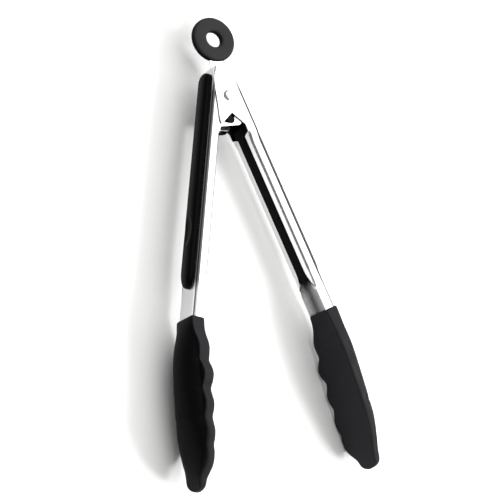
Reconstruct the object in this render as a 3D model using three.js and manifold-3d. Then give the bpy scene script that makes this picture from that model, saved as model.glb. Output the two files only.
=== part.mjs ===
// Spring loaded kitchen tongs with silicone heads, lying on one side.
// Millimetres. +Z is up and is the direction of the pivot, +Y runs from the heads to the pull ring,
// and the two arms open to -X and +X. The origin is at the middle of the underside of the whole.
import * as THREE from 'three';
import { mergeVertices } from 'three/addons/utils/BufferGeometryUtils.js';
import Module from 'manifold-3d';

const wasm = await Module();
wasm.setup();

// ---- driving dimensions ----
const GAP = 0.3;                  // clearance between pieces that touch
const STEEL = 0.8;                // sheet thickness of the arms
const HALF_OPEN = 15.9;           // angle of each arm from the middle line at rest, degrees
const BACK = 9.5;                 // pivot to the outer face of an arm's back
const RIM = 2.9;                  // pivot to the open side of an arm's channel
const HALF_WIDTH = 8.75;          // half the channel's width
const EAR_HALF_WIDTH = 9.85;      // half the width over the outer ears
const HEAD_START = 130;           // pivot to the top of a head, along the arm
const HEAD_END = 220;             // pivot to the tip
const SLOT_HALF = 4.1;            // half the slot between the folded edges
const FOLD_START = 22;            // the folded edges run from here
const FOLD_END = 105;             // to here, and then taper away
const FOLD_GONE = 119;
const PIVOT_RADIUS = 2;
const DOME_RADIUS = 3.1;
const DOME_HEIGHT = 1.5;
const GRIP_START = -13.8;         // the pad's two ends, along the arm from the pivot
const GRIP_END = 113.5;
const GRIP_HALF_WIDTH = 6.4;
const GRIP_HEIGHT = 4.2;
const LINER_START = 18.4;
const LINER_END = 111.5;
const POSTS = [34, 66, 98];       // places of the grip's posts along the arm
const POST_RADIUS = 2;
const TONGUE_HALF = 6;            // the steel tongue inside a head
const TONGUE_END = 150;
const CORE_END = 204;
const RING_CENTRE = 37.1;         // pivot to the middle of the pull ring
const RING_RADIUS = 13.25;
const RING_HOLE = 4.7;
const RING_THICKNESS = 4.7;
const RING_EDGE = 1.9;            // roundness of the ring's edges
const STRIP_HALF = 3.7;
const STRIP_THICKNESS = 1;
const STRIP_TOP = 30.2;
const PULL = 5;                   // travel of the ring and its strip
const LEAN = 3.5;                 // the strip hangs loose on the rivet and leans, degrees
const PIN_DROP = 13.6;            // pivot to the cross pin with the ring pushed in
const PIN_RADIUS = 2.3;
const CLOSING = 14;               // travel of each arm, degrees
const WIRE = 1.2;                 // spring wire
const COIL_RADIUS = 3.7;          // to the middle of the wire

// ---- finishes ----
const steel = new THREE.MeshStandardMaterial({ color: 0xd9dadb, roughness: 0.2, metalness: 1 });
const wire = new THREE.MeshStandardMaterial({ color: 0x9a9c9e, roughness: 0.35, metalness: 1 });
const rubber = new THREE.MeshStandardMaterial({ color: 0x17171a, roughness: 0.55, metalness: 0 });
const silicone = new THREE.MeshStandardMaterial({ color: 0x202023, roughness: 0.6, metalness: 0 });
const nylon = new THREE.MeshStandardMaterial({ color: 0x2b2b2d, roughness: 0.5, metalness: 0 });

// ---- solids ----
const X = new THREE.Vector3(1, 0, 0);
const Y = new THREE.Vector3(0, 1, 0);
const Z = new THREE.Vector3(0, 0, 1);
const rad = THREE.MathUtils.degToRad;

function solid(geometry) {
  const bare = geometry.clone();
  bare.deleteAttribute('normal');
  bare.deleteAttribute('uv');
  const merged = mergeVertices(bare, 1e-4);
  return new wasm.Manifold(new wasm.Mesh({
    numProp: 3,
    vertProperties: new Float32Array(merged.attributes.position.array),
    triVerts: new Uint32Array(merged.index.array),
  }));
}

function geometryOf(body) {
  const mesh = body.getMesh();
  const geometry = new THREE.BufferGeometry();
  geometry.setAttribute('position', new THREE.BufferAttribute(new Float32Array(mesh.vertProperties), 3));
  geometry.setIndex(new THREE.BufferAttribute(new Uint32Array(mesh.triVerts), 1));
  geometry.computeVertexNormals();
  return geometry;
}

function extrude(shape, from, to, basis, steps = 1) {
  const settings = { depth: to - from, bevelEnabled: false, curveSegments: 10, steps };
  const geometry = new THREE.ExtrudeGeometry(shape, settings).translate(0, 0, from);
  return solid(geometry.applyMatrix4(new THREE.Matrix4().makeBasis(...basis)));
}
const alongX = (shape, from, to) => extrude(shape, from, to, [Y, Z, X]);   // shape drawn in y, z
const alongY = (shape, from, to) => extrude(shape, from, to, [Z, X, Y]);   // shape drawn in z, x
const alongZ = (shape, from, to) => extrude(shape, from, to, [X, Y, Z]);   // shape drawn in x, y

function outline(points) {
  return new THREE.Shape(points.map(([a, b]) => new THREE.Vector2(a, b)));
}

function box(x0, x1, y0, y1, z0, z1) {
  const geometry = new THREE.BoxGeometry(x1 - x0, y1 - y0, z1 - z0);
  return solid(geometry.translate((x0 + x1) / 2, (y0 + y1) / 2, (z0 + z1) / 2));
}

function rod(radius, from, to, segments = 32) {
  const geometry = new THREE.CylinderGeometry(radius, radius, to - from, segments);
  return solid(geometry.rotateX(Math.PI / 2).translate(0, 0, (from + to) / 2));
}

// Rounded corners of a polygon, each [x, y, radius].
function rounded(corners) {
  const shape = new THREE.Shape();
  corners.forEach(([x, y, r], i) => {
    const here = new THREE.Vector2(x, y);
    const [ax, ay] = corners[(i + corners.length - 1) % corners.length];
    const [bx, by] = corners[(i + 1) % corners.length];
    const before = new THREE.Vector2(ax, ay).sub(here).setLength(r).add(here);
    const after = new THREE.Vector2(bx, by).sub(here).setLength(r).add(here);
    if (i === 0) shape.moveTo(before.x, before.y);
    else shape.lineTo(before.x, before.y);
    shape.quadraticCurveTo(x, y, after.x, after.y);
  });
  return shape;
}

// ---- the arms, drawn in an arm's own frame: x outward from the pivot, -y down the arm ----

// Half width of the channel down the arm: the outer arm is wider round its ears.
function channelOutline(earHalf, inset) {
  const top = 12.2 + (earHalf > HALF_WIDTH ? 0 : 4);
  const wide = earHalf - inset;
  const narrow = HALF_WIDTH - inset;
  const ends = inset ? [top + 1, -HEAD_START - 1] : [top, -HEAD_START + GAP];
  return outline([
    [ends[1], -narrow], [-30, -narrow], [-22, -wide], [ends[0], -wide],
    [ends[0], wide], [-22, wide], [-30, narrow], [ends[1], narrow],
  ]);
}

// The open side: a slot between the folded edges, wide open round the ears and towards the head.
function slotOutline(earHalf) {
  const wide = earHalf - STEEL;
  const narrow = HALF_WIDTH - STEEL;
  const half = [
    [-HEAD_START - 1, narrow], [-FOLD_GONE, narrow], [-FOLD_END - 4, SLOT_HALF + 1.2],
    [-FOLD_END, SLOT_HALF], [-FOLD_START - 2, SLOT_HALF], [-FOLD_START, wide], [20, wide],
  ];
  return outline([...half, ...half.map(([y, z]) => [y, -z]).reverse()]);
}

function outerEar() {
  const shape = new THREE.Shape();
  shape.moveTo(BACK, -21);
  shape.lineTo(RIM, -21);
  shape.lineTo(RIM, -18);
  shape.lineTo(-2.7, -9.8);
  shape.lineTo(-11.4, -13.9);
  shape.quadraticCurveTo(-12.6, -13.8, -12, -11);
  shape.splineThru([[-9.6, -2], [-6.8, 8], [-3.2, 14.6], [1.2, 17.5]].map((p) => new THREE.Vector2(...p)));
  shape.quadraticCurveTo(8, 17.6, BACK, 12);
  return shape;
}

function innerEar() {
  const shape = new THREE.Shape();
  shape.moveTo(BACK, -21);
  shape.lineTo(RIM, -21);
  shape.quadraticCurveTo(RIM, -19.3, 1.2, -18.8);
  shape.lineTo(-8.4, -15.4);
  shape.quadraticCurveTo(-9.8, -14.8, -9.5, -13.2);
  shape.splineThru([[-8.2, -5], [-6.4, 5], [-3, 11.5]].map((p) => new THREE.Vector2(...p)));
  shape.quadraticCurveTo(-0.5, 15.5, RIM, 16);
  shape.lineTo(BACK, 16.2);
  return shape;
}

// The window in the inner ears, which is all the ground that the cross pin covers as the arm closes
// and the ring is pulled.
function pinWindow() {
  const room = PIN_RADIUS + GAP;
  const open = rad(LEAN - HALF_OPEN - 90);
  const closed = open + rad(CLOSING);
  const pulled = PIN_DROP - PULL;
  const shape = new THREE.Shape();
  const corner = (distance, angle, from) => shape.absarc(
    distance * Math.cos(angle), distance * Math.sin(angle), room, from, from + Math.PI / 2, false,
  );
  shape.absarc(0, 0, PIN_DROP + room, open, closed, false);
  corner(PIN_DROP, closed, closed);
  corner(pulled, closed, closed + Math.PI / 2);
  shape.absarc(0, 0, pulled - room, closed, open, true);
  corner(pulled, open, open - Math.PI);
  corner(PIN_DROP, open, open - Math.PI / 2);
  return shape;
}

function arm({ earHalf, ear, window }) {
  let body = alongX(channelOutline(earHalf, 0), RIM, BACK);
  body = body.subtract(alongX(channelOutline(earHalf, STEEL), RIM + STEEL, BACK - STEEL));
  body = body.subtract(alongX(slotOutline(earHalf), RIM - 1, RIM + STEEL + 0.01));
  body = body.add(alongZ(ear, earHalf - STEEL, earHalf)).add(alongZ(ear, -earHalf, STEEL - earHalf));
  body = body.add(box(BACK - STEEL, BACK, -TONGUE_END, -HEAD_START + 2, -TONGUE_HALF, TONGUE_HALF));
  if (window) body = body.subtract(alongZ(window, -earHalf - 1, earHalf + 1));
  for (const s of POSTS) {
    const hole = rod(POST_RADIUS + GAP, BACK - 2, BACK + 1, 20).rotate([0, 90, 0]);
    body = body.subtract(hole.translate([0, -s, 0]));
  }
  return body.subtract(rod(PIVOT_RADIUS + GAP, -20, 20));
}

function gripPad() {
  const bevel = 2.4;
  const end = GRIP_HALF_WIDTH;
  const shape = new THREE.Shape();
  shape.absarc(-GRIP_START - end, 0, end, -Math.PI / 2, Math.PI / 2, false);
  shape.absarc(-GRIP_END + end, 0, end, Math.PI / 2, Math.PI * 1.5, false);
  const geometry = new THREE.ExtrudeGeometry(shape, {
    depth: 2 * (GRIP_HEIGHT - bevel), bevelEnabled: true, bevelThickness: bevel,
    bevelSize: bevel, bevelOffset: -bevel, bevelSegments: 3, curveSegments: 8,
  }).translate(0, 0, bevel - GRIP_HEIGHT);
  geometry.applyMatrix4(new THREE.Matrix4().makeBasis(Y, Z, X)).translate(BACK, 0, 0);
  const half = box(BACK + GAP, BACK + 10, -GRIP_END - 1, -GRIP_START + 1, -10, 10);
  let pad = solid(geometry).intersect(half);
  for (const s of POSTS) {
    const post = rod(POST_RADIUS, BACK - STEEL, BACK + 1, 20).rotate([0, 90, 0]);
    pad = pad.add(post.translate([0, -s, 0]));
  }
  return pad;
}

function gripLiner() {
  const half = HALF_WIDTH - STEEL - GAP;
  const neck = SLOT_HALF - GAP;
  const shelf = RIM + STEEL + GAP;
  const top = BACK - STEEL - GAP;
  return alongY(outline([
    [-neck, RIM + 0.1], [neck, RIM + 0.1], [neck, shelf], [half, shelf],
    [half, top], [-half, top], [-half, shelf], [-neck, shelf],
  ]), -LINER_END, -LINER_START);
}

// ---- the heads: a scalloped plate that curves inward, with a smooth spoon back on it ----
const SCALLOP = 14.6;             // length of one scallop
const FIRST_SCALLOP = 146;
const WIDEST = 204;
const SUNK = 0.6;                 // the spoon back's edge starts this deep in the plate
const DISH_HALF = 9;              // half the width of the hollow in the gripping face

const along = (s) => (s - HEAD_START) / (HEAD_END - 2 - HEAD_START);
const faceOffset = (s) => RIM - 9.35 * (1 - (1 - along(s)) ** 2);
const plateThickness = (s) => Math.max(4.4, 8 - 3.7 * along(s) / 0.8);
const backOffset = (s) => faceOffset(s) + plateThickness(s);

function headHalfWidth(s) {
  const peaks = THREE.MathUtils.lerp(9.2, 12.8, Math.min(1, (s - HEAD_START) / 16));
  const broad = peaks + 3.9 * THREE.MathUtils.smoothstep(s, 146, 192);
  const depth = 2.6 * (1 - 0.55 * THREE.MathUtils.smoothstep(s, 170, 205));
  const wave = Math.cos(Math.PI * (s - FIRST_SCALLOP) / SCALLOP);
  const notch = depth * (1 - Math.sqrt(wave * wave + 0.02)) * THREE.MathUtils.smoothstep(s, 128, 142);
  if (s < WIDEST) return broad - notch;
  const t = (s - WIDEST) / (HEAD_END - WIDEST);
  return broad * Math.max(0.12, (1 - t ** 1.5) ** 0.65);
}

// A plate that follows the head's curve: half width, lower and upper face as functions of s.
function bentPlate(from, to, halfWidth, low, high, steps) {
  const geometry = new THREE.BoxGeometry(1, to - from, 2, 1, steps, 2);
  const place = geometry.attributes.position;
  for (let i = 0; i < place.count; i += 1) {
    const s = (from + to) / 2 - place.getY(i);
    const x = THREE.MathUtils.lerp(low(s), high(s), place.getX(i) + 0.5);
    place.setXYZ(i, x, -s, place.getZ(i) * halfWidth(s));
  }
  return solid(geometry);
}

function spoonBack() {
  const half = { along: 37.4, across: 11.6, high: 6.4 };
  const middle = 168;
  const geometry = new THREE.SphereGeometry(1, 24, 14).rotateZ(Math.PI / 2);
  const place = geometry.attributes.position;
  for (let i = 0; i < place.count; i += 1) {
    const s = middle - half.along * place.getY(i);
    const up = place.getX(i);
    const x = backOffset(s) - SUNK + up * (up > 0 ? half.high + SUNK : 1.5);
    place.setXYZ(i, x, -s, half.across * place.getZ(i));
  }
  return solid(geometry);
}

const coreLow = (s) => faceOffset(s) + 2;
const coreHigh = (s) => backOffset(s) - 1.6 + (s < TONGUE_END + 4 ? 0.4 : 0.9);
const coreHalf = (s) => Math.min(7.4, headHalfWidth(s) - 2.4);

// Room for the arm's steel tongue.
function tongueRoom(top) {
  const half = TONGUE_HALF + GAP;
  return box(BACK - STEEL - GAP, top, -TONGUE_END - GAP, -100, -half, half);
}

function headCore() {
  return bentPlate(HEAD_START + 0.6, CORE_END, coreHalf, coreLow, coreHigh, 20)
    .subtract(tongueRoom(BACK + 4));
}

function headSilicone() {
  const plate = bentPlate(HEAD_START, HEAD_END, headHalfWidth, faceOffset, backOffset, 72);
  const room = bentPlate(HEAD_START - 2, CORE_END + GAP, (s) => coreHalf(s) + GAP,
    (s) => coreLow(s) - GAP, (s) => coreHigh(s) + GAP, 24);
  const dish = bentPlate(HEAD_START + 3, HEAD_START + 52, () => DISH_HALF,
    (s) => faceOffset(s) - 1, (s) => faceOffset(s) + 1.2 * (1 - (s - HEAD_START) / 60), 12);
  return plate.add(spoonBack()).subtract(room).subtract(tongueRoom(BACK + GAP)).subtract(dish);
}

// ---- the pivot and its spring ----
function pivotRivet() {
  const head = EAR_HALF_WIDTH + GAP;
  const dome = (side) => Array.from({ length: 7 }, (_, i) => {
    const a = side > 0 ? i * 15 : 90 - i * 15;
    return new THREE.Vector2(DOME_RADIUS * Math.cos(rad(a)), side * (head + DOME_HEIGHT * Math.sin(rad(a))));
  });
  const profile = [
    ...dome(-1), new THREE.Vector2(PIVOT_RADIUS, -head), new THREE.Vector2(PIVOT_RADIUS, head), ...dome(1),
  ];
  profile[0].x = 0;
  profile[profile.length - 1].x = 0;
  return solid(new THREE.LatheGeometry(profile, 24).rotateX(Math.PI / 2));
}

// One wire with a coil on each side of the strip: its middle is a loop that bears on the left arm's
// back, and its two ends bear on the right arm's back.
function springPath() {
  const inner = 1.7;
  const outer = 6.4;
  const rest = new THREE.Vector2(BACK - STEEL - WIRE / 2 - 0.35, -12.6);
  const right = rest.clone().rotateAround(new THREE.Vector2(), rad(HALF_OPEN));
  const left = new THREE.Vector2(-right.x, right.y);
  const points = [new THREE.Vector3(right.x, right.y, outer)];
  const start = rad(-25);
  const sweep = rad(3 * 360 - 130);
  const count = 40;
  for (let i = 0; i <= count; i += 1) {
    const a = start + sweep * i / count;
    const z = THREE.MathUtils.lerp(outer, inner, i / count);
    points.push(new THREE.Vector3(COIL_RADIUS * Math.cos(a), COIL_RADIUS * Math.sin(a), z));
  }
  points.push(new THREE.Vector3(left.x + 0.8, left.y + 2.6, inner));
  points.push(new THREE.Vector3(left.x, left.y, inner * 0.55));
  return [...points, ...points.map((p) => new THREE.Vector3(p.x, p.y, -p.z)).reverse()];
}

function torsionSpring() {
  const path = new THREE.CatmullRomCurve3(springPath(), false, 'centripetal');
  const section = new THREE.Shape().absarc(0, 0, WIRE / 2, 0, Math.PI * 2, false);
  return solid(new THREE.ExtrudeGeometry(section, {
    steps: 110, curveSegments: 3, bevelEnabled: false, extrudePath: path,
  }));
}

// ---- the lock, drawn along its own middle line with the pivot at its origin ----
function lockStrip() {
  const top = STRIP_TOP;
  const bottom = -PIN_DROP - PIN_RADIUS - GAP - 1.2;
  const shape = rounded([
    [-STRIP_HALF, bottom, 1.5], [STRIP_HALF, bottom, 1.5], [STRIP_HALF, top, 0.5], [-STRIP_HALF, top, 0.5],
  ]);
  const slot = new THREE.Path();
  slot.absarc(0, GAP, PIVOT_RADIUS + GAP, 0, Math.PI, false);
  slot.absarc(0, -PULL - GAP, PIVOT_RADIUS + GAP, Math.PI, Math.PI * 2, false);
  const eye = new THREE.Path();
  eye.absarc(0, -PIN_DROP, PIN_RADIUS * 0.8 + GAP, 0, Math.PI * 2, false);
  shape.holes.push(slot, eye);
  return alongZ(shape, -STRIP_THICKNESS / 2, STRIP_THICKNESS / 2);
}

// The pin is necked down where the strip holds it.
function lockPin() {
  const half = HALF_WIDTH;
  const neck = STRIP_THICKNESS / 2 + GAP;
  const points = [
    [0, -half], [PIN_RADIUS - 0.4, -half], [PIN_RADIUS, -half + 0.4], [PIN_RADIUS, -neck],
    [PIN_RADIUS * 0.8, -neck], [PIN_RADIUS * 0.8, neck], [PIN_RADIUS, neck],
    [PIN_RADIUS, half - 0.4], [PIN_RADIUS - 0.4, half], [0, half],
  ].map(([r, z]) => new THREE.Vector2(r, z));
  return solid(new THREE.LatheGeometry(points, 16).rotateX(Math.PI / 2)).translate([0, -PIN_DROP, 0]);
}

function pullRing() {
  const half = RING_THICKNESS / 2;
  const section = new THREE.Path();
  section.absarc(RING_RADIUS - RING_EDGE, half - RING_EDGE, RING_EDGE, 0, Math.PI / 2, false);
  section.absarc(RING_HOLE + RING_EDGE, half - RING_EDGE, RING_EDGE, Math.PI / 2, Math.PI, false);
  section.absarc(RING_HOLE + RING_EDGE, RING_EDGE - half, RING_EDGE, Math.PI, Math.PI * 1.5, false);
  section.absarc(RING_RADIUS - RING_EDGE, RING_EDGE - half, RING_EDGE, Math.PI * 1.5, Math.PI * 2, false);
  const points = section.getPoints(3);
  points.push(points[0].clone());
  const ring = solid(new THREE.LatheGeometry(points, 40).rotateX(Math.PI / 2)).translate([0, RING_CENTRE, 0]);
  const socket = STRIP_THICKNESS / 2 + GAP;
  const side = STRIP_HALF + GAP;
  return ring.subtract(box(-side, side, 20, STRIP_TOP + GAP, -socket, socket));
}

// ---- assembly ----
function piece(name, body, material) {
  const mesh = new THREE.Mesh(geometryOf(body), material);
  mesh.name = name;
  return mesh;
}

function armGroup(side, steelBody) {
  const group = new THREE.Group();
  group.add(
    piece(`${side}_arm`, steelBody, steel),
    piece(`${side}_grip_pad`, gripPad(), rubber),
    piece(`${side}_grip_liner`, gripLiner(), rubber),
    piece(`${side}_head_core`, headCore(), nylon),
    piece(`${side}_head_silicone`, headSilicone(), silicone),
  );
  group.rotation.set(0, side === 'left' ? Math.PI : 0, rad(HALF_OPEN));
  return group;
}

function lockGroup() {
  const group = new THREE.Group();
  group.add(
    piece('lock_strip', lockStrip(), steel),
    piece('lock_cross_pin', lockPin(), wire),
    piece('pull_ring', pullRing(), rubber),
  );
  group.rotation.z = -rad(LEAN);
  return group;
}

const tongs = new THREE.Group();
tongs.add(
  armGroup('left', arm({ earHalf: HALF_WIDTH, ear: innerEar(), window: pinWindow() })),
  armGroup('right', arm({ earHalf: EAR_HALF_WIDTH, ear: outerEar() })),
  lockGroup(),
  piece('pivot_rivet', pivotRivet(), steel),
  piece('torsion_spring', torsionSpring(), wire),
);

// The underside is at z = 0, and the origin is at the middle of the length and the width.
const group = new THREE.Group();
group.add(tongs);
group.updateMatrixWorld(true);
const extent = new THREE.Box3().setFromObject(tongs, true);
const middle = extent.getCenter(new THREE.Vector3());
tongs.position.set(-middle.x, -middle.y, -extent.min.z);
group.updateMatrixWorld(true);

export default group;
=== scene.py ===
# Spring loaded kitchen tongs: folded steel arms, rubber grips, scalloped silicone heads, pull ring.
# The sizes below are millimetres. Shapes of an arm are drawn in the arm's own frame: n outward from
# the pivot, s down the arm and z along the pivot. A point in it is (n, -s, z).
import math

import bmesh
import bpy
from mathutils import Matrix, Vector


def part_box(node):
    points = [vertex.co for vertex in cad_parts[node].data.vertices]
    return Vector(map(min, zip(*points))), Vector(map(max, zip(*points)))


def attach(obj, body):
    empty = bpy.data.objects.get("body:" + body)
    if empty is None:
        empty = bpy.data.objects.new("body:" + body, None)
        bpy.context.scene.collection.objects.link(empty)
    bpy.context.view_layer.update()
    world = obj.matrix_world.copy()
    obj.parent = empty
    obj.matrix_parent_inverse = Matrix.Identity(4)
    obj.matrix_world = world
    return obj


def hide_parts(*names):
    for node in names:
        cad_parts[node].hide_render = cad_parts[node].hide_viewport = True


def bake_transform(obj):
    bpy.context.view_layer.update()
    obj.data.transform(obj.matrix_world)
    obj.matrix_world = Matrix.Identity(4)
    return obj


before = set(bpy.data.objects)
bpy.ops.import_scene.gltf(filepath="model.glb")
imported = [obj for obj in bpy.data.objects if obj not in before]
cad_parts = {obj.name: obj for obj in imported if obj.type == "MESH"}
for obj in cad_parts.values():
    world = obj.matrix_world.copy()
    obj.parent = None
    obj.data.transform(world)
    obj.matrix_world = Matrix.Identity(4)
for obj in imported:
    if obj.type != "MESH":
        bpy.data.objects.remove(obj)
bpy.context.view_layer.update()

MM = 0.001
HALF_OPEN = math.radians(15.9)  # each arm's lean from the middle, at rest
LEAN = math.radians(3.5)  # the lock strip hangs a little askew on the rivet
CLOSING = math.radians(14)  # how far each arm closes
PULL = 5.0  # how far the ring pulls the cross pin
STEEL = 0.8  # thickness of the arms' sheet
BACK = 9.5  # from the pivot to an arm's back
RIM = 2.9  # from the pivot to the folded edges
HALF_WIDTH = 8.75
EAR_HALF_WIDTH = 9.85  # the outer arm's ears pass outside the inner arm's
SLOT_HALF = 4.1
BEND = 1.6  # outer radius of the sheet's bends
SHADE_FADE_FLAT = 1.3  # width of the back beside a bend that its painted dark reflection fades over
GRIP_START = -13.8
GRIP_END = 113.5
HEAD_START = 130.0
PIN_DROP = 13.6  # from the rivet down to the cross pin
PIN_ROOM = 2.6  # radius that is kept clear round the cross pin
WIRE = 1.2
COIL_RADIUS = 3.7
COIL_START = 1.7  # the coils keep clear of the lock strip between them
COIL_RISE = 4.7


def middle_of(node):
    low, high = (Vector(corner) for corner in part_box(node))
    return (low + high) / 2


PIVOT = middle_of("pivot_rivet")
RING = middle_of("pull_ring")
AT_PIVOT = Matrix.Translation(PIVOT)
ARM_PLACE = {
    "right": AT_PIVOT @ Matrix.Rotation(HALF_OPEN, 4, "Z"),
    "left": AT_PIVOT @ Matrix.Rotation(math.pi, 4, "Y") @ Matrix.Rotation(HALF_OPEN, 4, "Z"),
}


# ---- numbers ----
def lerp(a, b, t):
    """The value a share t of the way from a to b."""
    return a + (b - a) * t


def smooth(value, start, end):
    """Rises gently from 0 at the start to 1 at the end."""
    t = min(1.0, max(0.0, (value - start) / (end - start)))
    return t * t * (3 - 2 * t)


def through(table, at):
    """A smooth value between the rows (place, value) of a table."""
    if at <= table[0][0]:
        return table[0][1]
    for i in range(len(table) - 1):
        (a, va), (b, vb) = table[i], table[i + 1]
        if at <= b:
            before = table[max(i - 1, 0)]
            after = table[min(i + 2, len(table) - 1)]
            slope_a = (vb - before[1]) / (b - before[0])
            slope_b = (after[1] - va) / (after[0] - a)
            t = (at - a) / (b - a)
            step = b - a
            return (
                (2 * t**3 - 3 * t**2 + 1) * va
                + (t**3 - 2 * t**2 + t) * step * slope_a
                + (3 * t**2 - 2 * t**3) * vb
                + (t**3 - t**2) * step * slope_b
            )
    return table[-1][1]


def arc(centre, radius, start, end, count):
    """Points of an arc in a plane, its angles in degrees."""
    turns = [math.radians(lerp(start, end, i / count)) for i in range(count + 1)]
    return [(centre[0] + radius * math.cos(a), centre[1] + radius * math.sin(a)) for a in turns]


# ---- meshes ----
def piece(name, verts, faces, sharp=32):
    """A mesh object with its faces turned outward and its creases kept crisp."""
    mesh = bpy.data.meshes.new(name)
    mesh.from_pydata([tuple(v) for v in verts], [], faces)
    shape = bmesh.new()
    shape.from_mesh(mesh)
    bmesh.ops.remove_doubles(shape, verts=shape.verts, dist=1e-6)
    bmesh.ops.recalc_face_normals(shape, faces=shape.faces)
    shape.to_mesh(mesh)
    shape.free()
    made = bpy.data.objects.new(name, mesh)
    bpy.context.collection.objects.link(made)
    shade(made, sharp)
    return made


def shade(made, sharp):
    """Smooth shading, except over edges that turn by more than sharp degrees."""
    made.data.shade_smooth()
    made.data.set_sharp_from_angle(angle=math.radians(sharp))


def loft(name, rings, place, sharp=32):
    """A closed skin over rings of points, each ring with as many points."""
    count = len(rings[0])
    verts = [place @ (Vector(point) * MM) for ring in rings for point in ring]
    faces = []
    for i in range(len(rings) - 1):
        for j in range(count):
            k = (j + 1) % count
            a = i * count
            faces.append((a + j, a + k, a + count + k, a + count + j))
    faces.append(tuple(reversed(range(count))))
    last = (len(rings) - 1) * count
    faces.append(tuple(range(last, last + count)))
    return piece(name, verts, faces, sharp)


def slab(name, outline, low, high, place):
    """A flat sheet between two heights, its outline in n and -s."""
    rings = [[(n, y, z) for n, y in outline] for z in (low, high)]
    return loft(name, rings, place)


def cut(body, other, operation):
    """Joins or cuts two closed meshes, and leaves the result in the first."""
    modifier = body.modifiers.new("cut", "BOOLEAN")
    modifier.operation = operation
    modifier.solver = "EXACT"
    modifier.object = other
    settle(body)
    bpy.data.objects.remove(other)
    return body


def settle(made):
    """Turns an object's modifiers into plain mesh."""
    graph = bpy.context.evaluated_depsgraph_get()
    graph.update()
    mesh = bpy.data.meshes.new_from_object(made.evaluated_get(graph))
    made.modifiers.clear()
    made.data = mesh
    return made


def mark(made, name, rule):
    """Stores the rule's value at each vertex, where the finishes read it by name."""
    marks = made.data.attributes.new(name, "FLOAT", "POINT").data
    for vertex, place in zip(made.data.vertices, marks):
        place.value = rule(vertex.co)


def finish_piece(made, material, body, slot, *nodes):
    """Gives a piece its material and the body it rides on, and hides the CAD nodes it stands for. The slot
    argument is not used.
    """
    made.data.materials.clear()
    made.data.materials.append(material)
    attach(made, body)
    if nodes:
        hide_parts(*nodes)
    return made


# ---- finishes ----
class Value:
    """A socket in a material's tree, usable in arithmetic."""

    def __init__(self, finish, socket):
        self.finish = finish
        self.socket = socket

    def sum_of(self, operation, first, second):
        return self.finish.node("Math", {"operation": operation}, {0: first, 1: second})

    def __add__(self, other):
        return self.sum_of("ADD", self, other)

    def __sub__(self, other):
        return self.sum_of("SUBTRACT", self, other)

    def __rsub__(self, other):
        return self.sum_of("SUBTRACT", other, self)

    def __mul__(self, other):
        return self.sum_of("MULTIPLY", self, other)

    __radd__ = __add__
    __rmul__ = __mul__


class Finish:
    """A material, its nodes made by one method."""

    def __init__(self, name, **constants):
        self.material = bpy.data.materials.new(name)
        self.material.use_nodes = True
        self.tree = self.material.node_tree
        self.shader = self.tree.nodes["Principled BSDF"]
        self.feed(self.shader, constants)

    def feed(self, node, inputs):
        for key, value in inputs.items():
            socket = node.inputs[key]
            if isinstance(value, Value):
                self.tree.links.new(value.socket, socket)
            else:
                socket.default_value = value

    def node(self, kind, settings=None, inputs=None, output=0):
        made = self.tree.nodes.new("ShaderNode" + kind)
        for key, value in (settings or {}).items():
            if key == "stops":
                self.ramp(made.color_ramp, value)
            else:
                setattr(made, key, value)
        self.feed(made, inputs or {})
        return Value(self, made.outputs[output])

    def ramp(self, ramp, stops):
        while len(ramp.elements) < len(stops):
            ramp.elements.new(1.0)
        for element, (place, colour) in zip(ramp.elements, stops):
            element.position = place
            element.color = colour

    def place(self, scale=(1, 1, 1), turn=0.0):
        """Object coordinates, turned about the pivot and stretched."""
        objects = self.node("TexCoord", output="Object")
        return self.node(
            "Mapping",
            {"vector_type": "TEXTURE"},
            {"Vector": objects, "Location": PIVOT, "Rotation": (0, 0, turn), "Scale": scale},
        )

    def noise(self, where, scale, detail=2.0, rough=0.5):
        inputs = {"Vector": where, "Scale": scale, "Detail": detail, "Roughness": rough}
        return self.node("TexNoise", inputs=inputs, output="Fac")

    def mix(self, factor, first, second):
        inputs = {0: factor, 6: first, 7: second}
        return self.node("Mix", {"data_type": "RGBA"}, inputs, output=2)

    def bump(self, height, distance, strength):
        inputs = {"Height": height, "Distance": distance, "Strength": strength}
        return self.node("Bump", inputs=inputs)

    def dress(self, **links):
        names = {"colour": "Base Color", "rough": "Roughness", "normal": "Normal"}
        self.feed(self.shader, {names[key]: value for key, value in links.items()})
        return self.material


def steel_finish(name, turn, tone=0.9, bend_shade_tone=None):
    """Bright stainless steel, with the fine grain of its rolling along the arm, and a painted dark reflection
    on the bends when a bend tone is given.
    """
    steel = Finish(name, Metallic=1.0)
    grain = steel.noise(steel.place((0.02, 1.0, 0.02), turn), 40.0, 3.0, 0.6)
    cloud = steel.noise(steel.place(turn=turn), 45.0, 2.0)
    colour = steel.mix(cloud, (tone - 0.05, tone - 0.045, tone - 0.035, 1), (tone, tone, tone, 1))
    if bend_shade_tone:
        # painted reflection: the marked bends take the bend tone, standing for the dark surroundings that
        # they mirror
        bend = steel.node("Attribute", {"attribute_name": "bend"}, output="Fac")
        colour = steel.mix(bend, colour, (*bend_shade_tone, 1))
    return steel.dress(
        colour=colour,
        rough=0.13 + cloud * 0.05 + grain * 0.08,
        normal=steel.bump(grain, 0.00002, 0.25),
    )


SOFT_SHINE = 0.03
PAINTED_SHADE_SHARE = 0.15  # tone of the painted shade on the marked sides, as a share of the plain one


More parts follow.
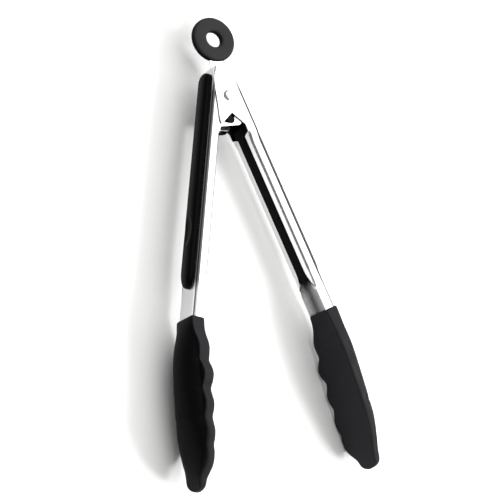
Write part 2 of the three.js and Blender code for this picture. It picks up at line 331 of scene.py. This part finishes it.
def soft_finish(name, dark, light, rough, pores, depth):
    """Moulded rubber or silicone: a fine matt skin, a little dusty in places, with painted shade where a
    piece is marked dark.
    """
    soft = Finish(name, Metallic=0.0, **{"Specular IOR Level": SOFT_SHINE})
    where = soft.place()
    skin = soft.noise(where, pores, 2.0, 0.6)
    cloud = soft.noise(where, 60.0, 3.0, 0.55)
    tone = soft.node("ValToRGB", {"stops": [(0.3, (*dark, 1)), (0.75, (*light, 1))]}, {0: cloud})
    # painted shade: where a piece is marked dark, its colour is darkened to stand for shade
    painted_shade = soft.node("Attribute", {"attribute_name": "dark"}, output="Fac")
    return soft.dress(
        colour=soft.mix(painted_shade, tone, (*(PAINTED_SHADE_SHARE * part for part in dark), 1)),
        rough=rough + cloud * 0.08 + skin * 0.06 - painted_shade * 0.06,
        normal=soft.bump(skin, depth, 0.35),
    )


ARM_STEEL = {
    # the bend tones are painted dark reflection, darker on the right arm than on the left
    "right": steel_finish("steel_right_arm", HALF_OPEN, bend_shade_tone=(0.010, 0.009, 0.010)),
    "left": steel_finish("steel_left_arm", -HALF_OPEN, bend_shade_tone=(0.075, 0.075, 0.078)),
}
LOCK_STEEL = steel_finish("steel_lock_strip", -LEAN)
RIVET_STEEL = steel_finish("steel_rivet", 0.0, 0.86)
# the spring steel's dark tone is painted shade for the spring sitting between the arms
SPRING_STEEL = steel_finish("spring_wire_steel", 0.0, 0.32)
SILICONE = soft_finish(
    "head_silicone_black",
    (0.020, 0.020, 0.0225),
    (0.025, 0.025, 0.028),
    rough=0.42,
    pores=2600,
    depth=0.00002,
)
GRIP_RUBBER = soft_finish(
    "grip_rubber_black",
    (0.014, 0.014, 0.0145),
    (0.017, 0.017, 0.018),
    rough=0.34,
    pores=3200,
    depth=0.00002,
)
RING_RUBBER = soft_finish(
    "ring_rubber_black",
    (0.027, 0.027, 0.0285),
    (0.034, 0.034, 0.0355),
    rough=0.50,
    pores=2200,
    depth=0.00003,
)
LINER_RUBBER = soft_finish(
    "liner_rubber_black",
    (0.004, 0.004, 0.004),
    (0.007, 0.007, 0.007),
    rough=0.62,
    pores=2400,
    depth=0.00002,
)
CORE_NYLON = soft_finish(
    "core_nylon_grey",
    (0.022, 0.022, 0.023),
    (0.032, 0.032, 0.034),
    rough=0.50,
    pores=1500,
    depth=0.00002,
)
PIN_BLACK = soft_finish(
    "cross_pin_black",
    (0.006, 0.006, 0.005),
    (0.010, 0.010, 0.008),
    rough=0.45,
    pores=3000,
    depth=0.00001,
)


# ---- the folded arms ----
FOLD_START = 22.0  # where the channel's edges begin to fold in, below the ears
FOLDED_FROM = 24.0
FOLDED_TO = 105.0
FOLD_END = 119.0
# these shares set how strong the painted dark reflection on the bends is
BARE_BEND_SHADE = 0.7  # strength of the painted dark reflection on a back bend below the grip
RIM_BEND_SHADE = 0.45


def channel_half_width(s, ear_half):
    """The channel narrows below the ears."""
    return lerp(ear_half, HALF_WIDTH, smooth(s, FOLD_START, 30))


def slot_half(s, open_half):
    """Half the gap between the folded edges; where there is no fold it is the channel's own inside."""
    if s < FOLD_START or s > FOLD_END:
        return open_half
    if s < FOLDED_FROM:
        return lerp(open_half, SLOT_HALF, smooth(s, FOLD_START, FOLDED_FROM))
    if s < FOLDED_TO:
        return SLOT_HALF
    return lerp(SLOT_HALF, open_half, smooth(s, FOLDED_TO, FOLD_END) ** 1.2)


def channel_section(s, ear_half):
    """The bent sheet's section: out along its outer skin and back along its inner one."""
    wide = channel_half_width(s, ear_half)
    inside = wide - STEEL
    slot = slot_half(s, inside)
    fold = min(1.0, (inside - slot) / BEND)
    steps = 5
    rim_outer = arc((RIM + BEND, wide - BEND), BEND, 180, 90, steps)
    rim_inner = arc((RIM + BEND, wide - BEND), BEND - STEEL, 180, 90, steps)
    outer = [(RIM, lerp(wide, slot, fold))]
    inner = [(lerp(RIM, RIM + STEEL, fold), lerp(inside, slot, fold))]
    for i in range(steps + 1):
        straight = RIM + BEND * i / steps + 0.001 * i
        n, z = rim_outer[i]
        outer.append((lerp(straight, n, fold), lerp(wide, z, fold)))
        n, z = rim_inner[i]
        inner.append((lerp(straight, n, fold), lerp(inside, z, fold)))
    outer += [(BACK - BEND - 0.5, wide)]
    outer += arc((BACK - BEND, wide - BEND), BEND, 90, 0, steps)
    outer += [(BACK, wide - BEND - SHADE_FADE_FLAT)]
    inner += arc((BACK - BEND, wide - BEND), BEND - STEEL, 90, 0, steps)
    loop = outer + [(n, -z) for n, z in reversed(outer)]
    loop += [(n, -z) for n, z in inner] + list(reversed(inner))
    return [(n, -s, z) for n, z in loop]


def steel_channel(side, ear_half, top):
    """The folded sheet of an arm, from above the rivet to just inside the head."""
    places = [-top, 0, 12, 18, 20, 21.98, 22.3, 22.8, 23.3, 24, 26, 28, 30, 34, 50, 75, 95, 105]
    places += [107, 109, 111, 113, 115, 117, 118.98, 120, 125, HEAD_START + 0.4]
    rings = [channel_section(s, ear_half) for s in places]
    return loft(f"{side}_arm_steel", rings, ARM_PLACE[side])


def curve_through(points, steps=6):
    """A smooth open curve through points in a plane."""
    table = list(enumerate(points))
    count = steps * (len(points) - 1)
    at = [i / steps for i in range(count + 1)]
    return [tuple(through([(i, p[axis]) for i, p in table], t) for axis in (0, 1)) for t in at]


def outer_ear():
    """The right arm's ear, which laps outside the left one: its notch shows the cross pin."""
    edge = BACK - BEND + 0.1
    line = [(edge, -20.9), (RIM, -20.9), (RIM, -18.2), (RIM - 0.2, -17.7)]
    line += [(-2.5, -10.0), (-2.9, -9.9), (-11.2, -13.8)]
    side = [(-11.6, -13.7), (-11.4, -11), (-8.5, -2), (-5.5, 8), (-2.2, 14.4), (1.8, 17.3)]
    line += curve_through(side)
    line += curve_through([(4.4, 17.2), (7.2, 15.4), (edge, 13.4)], 4) + [(edge, 8)]
    return line


def inner_ear():
    """The left arm's ear, whose lower edge shows through the outer ear's notch."""
    edge = BACK - BEND + 0.1
    line = [(edge, -20.9), (RIM, -20.9), (2.6, -19.4), (1.2, -18.8), (-8.0, -15.5)]
    side = [(-9.1, -14.7), (-9.5, -13.2), (-8.2, -5), (-6.4, 5), (-3, 11.5), (0.2, 15.2), (RIM, 16)]
    line += curve_through(side)
    line += [(edge, 16.2), (edge, 8)]
    return line


def pin_window():
    """All the ground that the cross pin covers as the arm closes and the ring is pulled."""
    opened = math.degrees(LEAN - HALF_OPEN) - 90
    closed = opened + math.degrees(CLOSING)
    pulled = PIN_DROP - PULL

    def corner(distance, angle, start):
        turn = math.radians(angle)
        centre = (distance * math.cos(turn), distance * math.sin(turn))
        return arc(centre, PIN_ROOM, start, start + 90, 6)

    line = arc((0, 0), PIN_DROP + PIN_ROOM, opened, closed, 6)
    line += corner(PIN_DROP, closed, closed) + corner(pulled, closed, closed + 90)
    line += arc((0, 0), pulled - PIN_ROOM, closed, opened, 6)
    return line + corner(pulled, opened, opened - 180) + corner(PIN_DROP, opened, opened - 90)


def paint_bend_shade(body, back_to_arm, ear_half):
    """Marks the bends for a painted dark reflection that darkens the steel's colour there, in full on the
    back bends beside the grip.
    """
    edge = 0.01

    def bend_shade_tone(at):
        n, y, z = (back_to_arm @ at) / MM
        s = -y
        past_side = abs(z) - (channel_half_width(s, ear_half) - BEND)
        beside_grip = 1 - smooth(s, GRIP_END - 4, GRIP_END + 4)
        if past_side > -edge and n > BACK - BEND - edge:
            turned = math.degrees(math.atan2(n - BACK + BEND, max(past_side, 0.0)))
            tone = lerp(BARE_BEND_SHADE * (1 - smooth(turned, 40, 80)), 1.0, beside_grip)
            return tone * smooth(s, GRIP_START + 1, GRIP_START + 4)
        folded = FOLDED_FROM - edge <= s <= FOLDED_TO + edge
        if folded and past_side > edge and RIM + edge < n < RIM + BEND - edge:
            return RIM_BEND_SHADE
        return 0.0

    mark(body, "bend", bend_shade_tone)


def arm(side, ear_half, top, ear, window):
    """A folded arm: its channel, joined to an ear on each side that swings on the rivet."""
    body = steel_channel(side, ear_half, top)
    place = ARM_PLACE[side]
    skin = 0.02
    for low in (ear_half - STEEL, -ear_half):
        body = cut(body, slab("ear", ear, low + skin, low + STEEL - skin, place), "UNION")
    if window:
        body = cut(body, slab("window", window, -20, 20, place), "DIFFERENCE")
    paint_bend_shade(body, place.inverted(), ear_half)
    shade(body, 28)
    return finish_piece(body, ARM_STEEL[side], side, "steel", f"{side}_arm")


# ---- grips ----
GRIP_HALF = 5.4
GRIP_CROWN = 3.9  # how far the pad stands out from the arm's back
GRIP_RINGS = 120
DIMPLE = {"middle": 81.0, "half_length": 10.0, "half_width": 4.6, "deep": 1.5}


def grip_half(s):
    """Half the pad's width: it ends in a half circle above and in a longer curve below."""
    top = min(1.0, (s - GRIP_START) / GRIP_HALF)
    low = min(1.0, (GRIP_END - s) / 11.0)
    rounded = math.sqrt(max(0.0, 1 - (1 - top) ** 2))
    return GRIP_HALF * rounded * math.sqrt(max(0.0, 1 - (1 - low) ** 2.2))


def dimple(s, z):
    """Depth of the thumb's hollow."""
    out = math.hypot((s - DIMPLE["middle"]) / DIMPLE["half_length"], z / DIMPLE["half_width"])
    return DIMPLE["deep"] * (1 - smooth(out, 0.35, 1.0))


def grip_section(s):
    """The pad's section, a flat-sided arch over the arm's back."""
    half = max(0.15, grip_half(s))
    full = half / GRIP_HALF
    crown = GRIP_CROWN * math.sqrt(full) if full < 1 else GRIP_CROWN
    count = 28
    line = []
    for i in range(count + 1):
        a = math.pi * i / count
        z = half * math.copysign(abs(math.cos(a)) ** 0.8, math.cos(a))
        n = BACK + crown * math.sin(a) ** 0.62
        line.append((n - dimple(s, z) * smooth(n, BACK, BACK + 3), -s, z))
    return line


def grip(side):
    """A rubber pad along an arm's back, with painted shade down its sides."""
    tip = 0.001 * (GRIP_END - GRIP_START)
    rings = []
    for i in range(GRIP_RINGS + 1):
        t = i / GRIP_RINGS
        eased = lerp(t, 0.5 - 0.5 * math.cos(math.pi * t), 0.8)
        rings.append(grip_section(lerp(GRIP_START + tip, GRIP_END - tip, eased)))
    made = loft(f"{side}_grip_rubber", rings, ARM_PLACE[side], 50)
    # painted shade down the pad's sides
    mark(made, "dark", lambda at: smooth(abs(at.z - PIVOT.z) / MM, 0.3, 3.6))
    return finish_piece(made, GRIP_RUBBER, side, "grip_rubber", f"{side}_grip_pad")


def liner(side):
    """The rubber that fills the channel and shows between its folded edges."""
    half = HALF_WIDTH - STEEL - 0.3
    neck = SLOT_HALF - 0.15
    shelf = RIM + STEEL + 0.2
    top = BACK - STEEL - 0.3
    right = [(RIM + 0.45, neck - 0.5), (RIM + 0.6, neck - 0.15), (RIM + 0.85, neck)]
    right += [(shelf, neck), (shelf, half - 0.4), (shelf + 0.4, half), (top - 0.6, half), (top, half - 0.6)]
    loop = right + [(n, -z) for n, z in reversed(right)]
    places = [(18.4, 0.96), (18.8, 1.0), (40, 1.0), (65, 1.0), (90, 1.0), (111.1, 1.0), (111.5, 0.96)]
    rings = [[(lerp(top, n, f), -s, z * f) for n, z in loop] for s, f in places]
    made = loft(f"{side}_liner_rubber", rings, ARM_PLACE[side])
    return finish_piece(made, LINER_RUBBER, side, "grip_rubber", f"{side}_grip_liner")


# ---- the silicone heads ----
# Each row is (s, value). The half widths run from the middle of a head to its edge, and the other
# rows give n on the gripping face, on the flange behind it and on the crown of the back.
SCALLOPED_HALF = [
    (130, 9.15), (134.7, 9.3), (138.4, 10.2), (142.1, 12.0), (145.8, 13.3), (149.5, 12.7), (153.2, 11.8),
    (156.9, 14.4), (160.6, 16.0), (164.3, 14.8), (168, 12.3), (171.7, 13.8), (175.4, 15.4),
    (179.1, 15.1), (182.8, 13.6), (186.5, 15.1), (190.2, 16.65), (193.9, 16.5), (197.6, 15.6),
    (201.3, 16.6), (204.9, 16.6), (208.6, 14.9), (212.3, 10.9), (214, 9.3), (216, 8.6), (217.5, 7.6),
    (218.9, 5.0), (219.45, 2.4), (219.6, 0.9),
]
GROOVED_HALF = [
    (130, 9.15), (134, 9.9), (138, 11.0), (146, 13.4), (157, 15.6), (170, 16.5), (180, 16.65), (190, 16.2),
    (197.6, 14.9), (204.9, 12.2), (209, 10.0), (212.3, 8.6), (216, 7.6), (217.5, 6.9), (218.9, 4.9),
    (219.45, 2.4), (219.6, 0.9),
]
HEAD_FACE = [
    (130, 2.9), (134.7, 2.15), (142.1, 0.74), (149.5, -0.57), (156.9, -1.77), (164.3, -2.85),
    (171.7, -3.8), (179.1, -4.61), (186.5, -5.29), (193.9, -5.81), (201.3, -6.17), (208.6, -6.5),
    (216, -6.9), (219.6, -7.05),
]
HEAD_FLANGE = [
    (130, 10.3), (134, 9.7), (148, 6.3), (166, 2.65), (183, 0.2), (201, -1.7), (210, -2.1), (216, -2.8),
    (219.6, -5.2),
]
HEAD_CROWN = [
    (130, 10.35), (136, 11.6), (145.5, 12.9), (152, 13.0), (160, 12.3), (174.5, 9.9), (189, 6.4),
    (198, 3.8), (206, 1.2), (213, -1.6), (219.6, -5.3),
]
CROWN_HALF = [
    (130, 8.8), (138, 9.4), (150, 11.2), (170, 12.2), (188, 13.8), (200, 14.2), (210, 11.0), (219.6, 0.5),
]
HEAD_WIDEST = 16.68
FACE_ROUND = 1.0
BACK_ROUND = 0.7
TIP_ROUND = 1.9
STRIP_WIDE = 2.6  # the raised strip round the gripping face
HOLLOW_DEEP = 1.0
BELLY_HIGH = 0.5
GROOVE_DEEPEST = 2.0


def half_head(s, half, groove):
    """Half of a head's ring, from the middle of the gripping face to the middle of the back."""
    half = min(half, HEAD_WIDEST)
    face = through(HEAD_FACE, s)
    flange = through(HEAD_FLANGE, s)
    crown = max(flange, through(HEAD_CROWN, s))
    front = min(FACE_ROUND * smooth(s, 128, 142) + 0.4, half * 0.4, (flange - face) * 0.4)
    rear = min(lerp(BACK_ROUND, TIP_ROUND, smooth(s, 165, 195)), half * 0.4, (flange - face) * 0.4)
    hollow = HOLLOW_DEEP * (1 - smooth(s, 168, 196)) * smooth(s, 130, 138)
    belly = BELLY_HIGH * smooth(s, 134, 150) * (1 - smooth(s, 180, 210))
    rim = min(half - front - 0.05, max(half * 0.5, half - front - STRIP_WIDE))
    back_half = half - rear - groove
    line = [(face + hollow + belly * (1 - (i / 12) ** 2), rim * i / 12.5) for i in range(13)]
    for t in (0.2, 0.4, 0.6, 0.8):
        line.append((face + hollow * (1 - smooth(t, 0, 1)), lerp(rim * 0.96, half - front, t)))
    line += arc((face + front, half - front), front, 180, 90, 8)
    line += arc((flange - rear, back_half), rear, 90, 0, 5)
    base = min(back_half - 0.05, through(CROWN_HALF, s))
    line.append((flange, lerp(back_half, base, 0.5)))
    for i in range(19):
        across = 1 - i / 18
        line.append((flange + (crown - flange) * (1 - across**2.3) ** 0.75, base * across))
    return line


def head_section(s):
    """One closed ring round a head: its lower edge is scalloped and its upper edge only grooved."""
    depth = through(GROOVED_HALF, s) - through(SCALLOPED_HALF, s)
    groove = 0.8 * max(0.0, depth) * smooth(s, 136, 150) * (1 - smooth(s, 190, 200))
    grooved = half_head(s, through(GROOVED_HALF, s), min(groove, GROOVE_DEEPEST))
    scalloped = half_head(s, through(SCALLOPED_HALF, s), 0.0)
    mirrored = [(n, -z) for n, z in reversed(scalloped[1:-1])]
    return [(n, -s, z) for n, z in grooved + mirrored]


def head(side):
    """A silicone head, its first rings drawn in so that its mouth is rounded."""
    places = [HEAD_START, 130.25, 130.7, 131.4]
    places += [lerp(132.2, 216.0, i / 108) for i in range(109)]
    places += [216.7, 217.4, 218.1, 218.7, 219.15, 219.4, 219.58]
    rings = [head_section(s) for s in places]
    middle = (RIM + BACK) / 2
    for i, inset in enumerate((0.5, 0.2, 0.05)):
        rings[i] = [
            (n - math.copysign(inset, n - middle), y, z - math.copysign(min(inset, abs(z)), z))
            for n, y, z in rings[i]
        ]
    made = loft(f"{side}_head_soft", rings, ARM_PLACE[side], 60)
    back_to_arm = ARM_PLACE[side].inverted()

    # painted shade on the back behind the flange, which is marked dark
    def outside(at):
        n, y, z = (back_to_arm @ at) / MM
        return smooth(n - through(HEAD_FLANGE, -y), -0.5, 0.0)

    mark(made, "dark", outside)
    return finish_piece(made, SILICONE, side, "silicone", f"{side}_head_silicone")


# ---- repeated and swept pieces ----
class Recipe:
    """A Geometry Nodes tree with named sizes, run once on an object to make plain mesh."""

    def __init__(self, name, **sizes):
        self.tree = bpy.data.node_groups.new(name, "GeometryNodeTree")
        self.sizes = {}
        self.tree.interface.new_socket("Geometry", in_out="INPUT", socket_type="NodeSocketGeometry")
        for key, value in sizes.items():
            socket = self.tree.interface.new_socket(key, in_out="INPUT", socket_type="NodeSocketFloat")
            self.sizes[socket.identifier] = value
        self.tree.interface.new_socket("Geometry", in_out="OUTPUT", socket_type="NodeSocketGeometry")
        self.given = self.tree.nodes.new("NodeGroupInput")

    def size(self, name):
        return self.given.outputs[name]

    def node(self, kind, settings=None, inputs=None, output=0):
        made = self.tree.nodes.new(kind)
        for key, value in (settings or {}).items():
            setattr(made, key, value)
        for key, value in (inputs or {}).items():
            if isinstance(value, bpy.types.NodeSocket):
                self.tree.links.new(value, made.inputs[key])
            else:
                made.inputs[key].default_value = value
        return made.outputs[output]

    def make(self, name, geometry, material, place, sharp=32):
        """Ends the tree, runs it and returns a plain mesh object with its place in its mesh."""
        real = self.node("GeometryNodeRealizeInstances", inputs={0: geometry})
        painted = self.node("GeometryNodeSetMaterial", inputs={"Geometry": real, "Material": material})
        end = self.tree.nodes.new("NodeGroupOutput")
        self.tree.links.new(painted, end.inputs[0])
        made = bpy.data.objects.new(name, bpy.data.meshes.new(name))
        bpy.context.collection.objects.link(made)
        modifier = made.modifiers.new("recipe", "NODES")
        modifier.node_group = self.tree
        for identifier, value in self.sizes.items():
            modifier[identifier] = value
        settle(made)
        made.data.transform(place)
        shape = bmesh.new()
        shape.from_mesh(made.data)
        bmesh.ops.remove_doubles(shape, verts=shape.verts, dist=1e-6)
        bmesh.ops.recalc_face_normals(shape, faces=shape.faces)
        shape.to_mesh(made.data)
        shape.free()
        shade(made, sharp)
        return made


def pull_ring():
    """A thick rubber ring: a rounded section swept round a circle."""
    recipe = Recipe(
        "ring_recipe", middle_radius=8.92 * MM, width=8.55 * MM, thickness=4.7 * MM, edge=1.9 * MM
    )
    path = recipe.node(
        "GeometryNodeCurvePrimitiveCircle", inputs={"Resolution": 96, "Radius": recipe.size("middle_radius")}
    )
    block = recipe.node(
        "GeometryNodeCurvePrimitiveQuadrilateral",
        inputs={"Width": recipe.size("width"), "Height": recipe.size("thickness")},
    )
    section = recipe.node(
        "GeometryNodeFilletCurve",
        {"mode": "POLY"},
        {"Curve": block, "Radius": recipe.size("edge"), "Count": 8},
    )
    swept = recipe.node("GeometryNodeCurveToMesh", inputs={"Curve": path, "Profile Curve": section})
    made = recipe.make("ring_rubber_loop", swept, RING_RUBBER, Matrix.Translation(RING), 60)
    # painted shade on the ring's inner and outer edges, which are marked dark
    mark(made, "dark", lambda at: 1 - smooth(abs(at.z - RING.z) / MM, 0.9, 2.1))
    return finish_piece(made, RING_RUBBER, "lock", "ring_rubber", "pull_ring")


def spring_coils():
    """The two coils of the spring, wound round the rivet on each side of the lock strip."""
    recipe = Recipe(
        "coil_recipe",
        turns=2.64,
        coil_radius=COIL_RADIUS * MM,
        wire_radius=WIRE / 2 * MM,
        rise=COIL_RISE * MM,
        start=COIL_START * MM,
    )
    radius = recipe.size("coil_radius")
    helix = recipe.node(
        "GeometryNodeCurveSpiral",
        inputs={
            "Resolution": 32,
            "Rotations": recipe.size("turns"),
            "Start Radius": radius,
            "End Radius": radius,
            "Height": recipe.size("rise"),
        },
    )
    wire = recipe.node(
        "GeometryNodeCurvePrimitiveCircle", inputs={"Resolution": 12, "Radius": recipe.size("wire_radius")}
    )
    coil = recipe.node(
        "GeometryNodeCurveToMesh", inputs={"Curve": helix, "Profile Curve": wire, "Fill Caps": True}
    )
    start = recipe.node("ShaderNodeCombineXYZ", inputs={2: recipe.size("start")})
    upper = recipe.node("GeometryNodeTransform", inputs={"Geometry": coil, "Translation": start})
    lower = recipe.node("GeometryNodeTransform", inputs={"Geometry": upper, "Scale": (1, 1, -1)})
    both = recipe.tree.nodes.new("GeometryNodeJoinGeometry")
    for part in (upper, lower):
        recipe.tree.links.new(part, both.inputs[0])
    made = recipe.make("spring_coils", both.outputs[0], SPRING_STEEL, AT_PIVOT, 60)
    return finish_piece(made, SPRING_STEEL, "pivot", "spring_wire", "torsion_spring")


def wire_between(name, points):
    """A leg of the spring, bent from the coil towards the arm that it bears on."""
    line = curve_through_space(points, 6)
    rings = []
    for i, at in enumerate(line):
        ahead = (line[min(i + 1, len(line) - 1)] - line[max(i - 1, 0)]).normalized()
        side = ahead.cross(Vector((0.1, 0.2, 1))).normalized()
        up = side.cross(ahead)
        turns = [2 * math.pi * k / 12 for k in range(12)]
        rings.append([at + (side * math.cos(a) + up * math.sin(a)) * (WIRE / 2) for a in turns])
    made = loft(name, rings, AT_PIVOT, 60)
    made.data.materials.append(SPRING_STEEL)
    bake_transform(made)
    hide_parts("torsion_spring")
    return made


def curve_through_space(points, steps):
    """A smooth open curve through points in space."""
    table = list(enumerate(points))
    at = [i / steps for i in range(steps * (len(points) - 1) + 1)]
    return [Vector([through([(i, p[axis]) for i, p in table], t) for axis in range(3)]) for t in at]


def spring_legs():
    """Each coil sends its outer end to the right arm and its inner end to the left one."""
    reach = Vector((BACK - STEEL - WIRE / 2 - 0.35, -12.6))
    foot = Matrix.Rotation(HALF_OPEN, 2) @ reach
    for name, face in (("upper", 1), ("lower", -1)):
        outer = (COIL_START + COIL_RISE) * face
        inner = COIL_START * face
        right_route = [
            (3.35, -1.56, outer),
            (4.4, -4.0, outer),
            (foot.x - 1.2, foot.y + 3.4, outer),
            (foot.x, foot.y, outer),
        ]
        left_route = [
            (-3.35, -1.56, inner),
            (-4.6, -4.4, inner),
            (-foot.x + 1.0, foot.y + 3.0, inner),
            (-foot.x, foot.y, 0.9 * face),
        ]
        wire_between(f"spring_leg_right_{name}", right_route)
        wire_between(f"spring_leg_left_{name}", left_route)


def rivet():
    """A rivet: its shank, and a domed head on each ear."""
    recipe = Recipe(
        "rivet_recipe", head_radius=3.1 * MM, head_height=1.5 * MM, seat=10.15 * MM, shank=2.0 * MM
    )
    dome = recipe.node(
        "GeometryNodeMeshUVSphere", inputs={"Segments": 48, "Rings": 24, "Radius": recipe.size("head_radius")}
    )
    where = recipe.node("GeometryNodeInputPosition")
    apart = recipe.node("ShaderNodeSeparateXYZ", inputs={0: where}, output=2)
    share = recipe.node(
        "ShaderNodeMath",
        {"operation": "DIVIDE"},
        {0: recipe.size("head_height"), 1: recipe.size("head_radius")},
    )
    above = recipe.node("ShaderNodeMath", {"operation": "MAXIMUM"}, {0: apart, 1: 0.0})
    low = recipe.node("ShaderNodeMath", {"operation": "MULTIPLY"}, {0: above, 1: share})
    place = recipe.node("ShaderNodeCombineXYZ", inputs={2: low})
    flat = recipe.node("ShaderNodeVectorMath", {"operation": "MULTIPLY"}, {0: where, 1: (1, 1, 0)})
    bent = recipe.node("ShaderNodeVectorMath", {"operation": "ADD"}, {0: flat, 1: place})
    cap = recipe.node("GeometryNodeSetPosition", inputs={"Geometry": dome, "Position": bent})
    lift = recipe.node("ShaderNodeCombineXYZ", inputs={2: recipe.size("seat")})
    near = recipe.node("GeometryNodeTransform", inputs={"Geometry": cap, "Translation": lift})
    far = recipe.node("GeometryNodeTransform", inputs={"Geometry": near, "Scale": (1, 1, -1)})
    shank = recipe.node(
        "GeometryNodeMeshCylinder",
        inputs={"Vertices": 32, "Radius": recipe.size("shank"), "Depth": 20.4 * MM},
    )
    both = recipe.tree.nodes.new("GeometryNodeJoinGeometry")
    for part in (near, far, shank):
        recipe.tree.links.new(part, both.inputs[0])
    made = recipe.make("rivet_steel", both.outputs[0], RIVET_STEEL, AT_PIVOT)
    return finish_piece(made, RIVET_STEEL, "pivot", "steel", "pivot_rivet")


# ---- what the CAD already has right ----
def paint(node, material):
    """Gives a CAD piece its finish."""
    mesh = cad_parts[node].data
    mesh.materials.clear()
    mesh.materials.append(material)


# ---- the room ----
def floor():
    bpy.ops.mesh.primitive_plane_add(size=8)
    ground = bpy.context.object
    ground.name = "floor"
    pale = Finish("pale_floor", Roughness=0.9, **{"Specular IOR Level": 0.1})
    cloud = pale.noise(pale.place(), 3.0)
    tone = pale.mix(cloud, (0.86, 0.86, 0.85, 1), (0.88, 0.88, 0.87, 1))
    ground.data.materials.append(pale.dress(colour=tone))


def soft_light(name, towards, distance, size, power):
    """A square lamp that looks at the middle of the tongs."""
    lamp = bpy.data.lights.new(name, "AREA")
    lamp.energy = power
    lamp.size = size
    holder = bpy.data.objects.new(name, lamp)
    bpy.context.collection.objects.link(holder)
    aim = Vector(towards).normalized()
    holder.location = PIVOT + Vector((0, -0.09, 0)) + aim * distance
    holder.rotation_euler = aim.to_track_quat("Z", "Y").to_euler()


def studio():
    world = bpy.data.worlds.new("studio")
    world.use_nodes = True
    world.node_tree.nodes["Background"].inputs["Color"].default_value = (1, 1, 1, 1)
    world.node_tree.nodes["Background"].inputs["Strength"].default_value = 0.3
    bpy.context.scene.world = world
    bpy.context.scene.view_settings.view_transform = "Standard"
    soft_light("overhead", (0.515, 0.216, 0.829), distance=1.8, size=4.0, power=100)
    soft_light("key", (0.5, -0.62, 0.62), distance=1.2, size=0.25, power=9)


def viewpoint():
    lens = bpy.data.cameras.new("viewpoint")
    lens.lens = 107.59
    lens.sensor_width = 36
    lens.clip_start = 0.01
    holder = bpy.data.objects.new("viewpoint", lens)
    bpy.context.collection.objects.link(holder)
    right = Vector((0.85636911, -0.17114781, 0.48717591))
    up = Vector((0.03672646, 0.96127237, 0.2731421))
    turn = Matrix((right, up, right.cross(up))).transposed().to_4x4()
    stand = PIVOT + Vector((-0.42057, -0.26459, 0.68150))
    holder.matrix_world = Matrix.Translation(stand) @ turn
    bpy.context.scene.camera = holder


arm("right", EAR_HALF_WIDTH, 12.2, outer_ear(), None)
arm("left", HALF_WIDTH, 16.2, inner_ear(), pin_window())
for arm_side in ("left", "right"):
    grip(arm_side)
    liner(arm_side)
    head(arm_side)
    paint(f"{arm_side}_head_core", CORE_NYLON)
pull_ring()
rivet()
spring_coils()
spring_legs()
paint("lock_strip", LOCK_STEEL)
paint("lock_cross_pin", PIN_BLACK)
floor()
studio()
viewpoint()
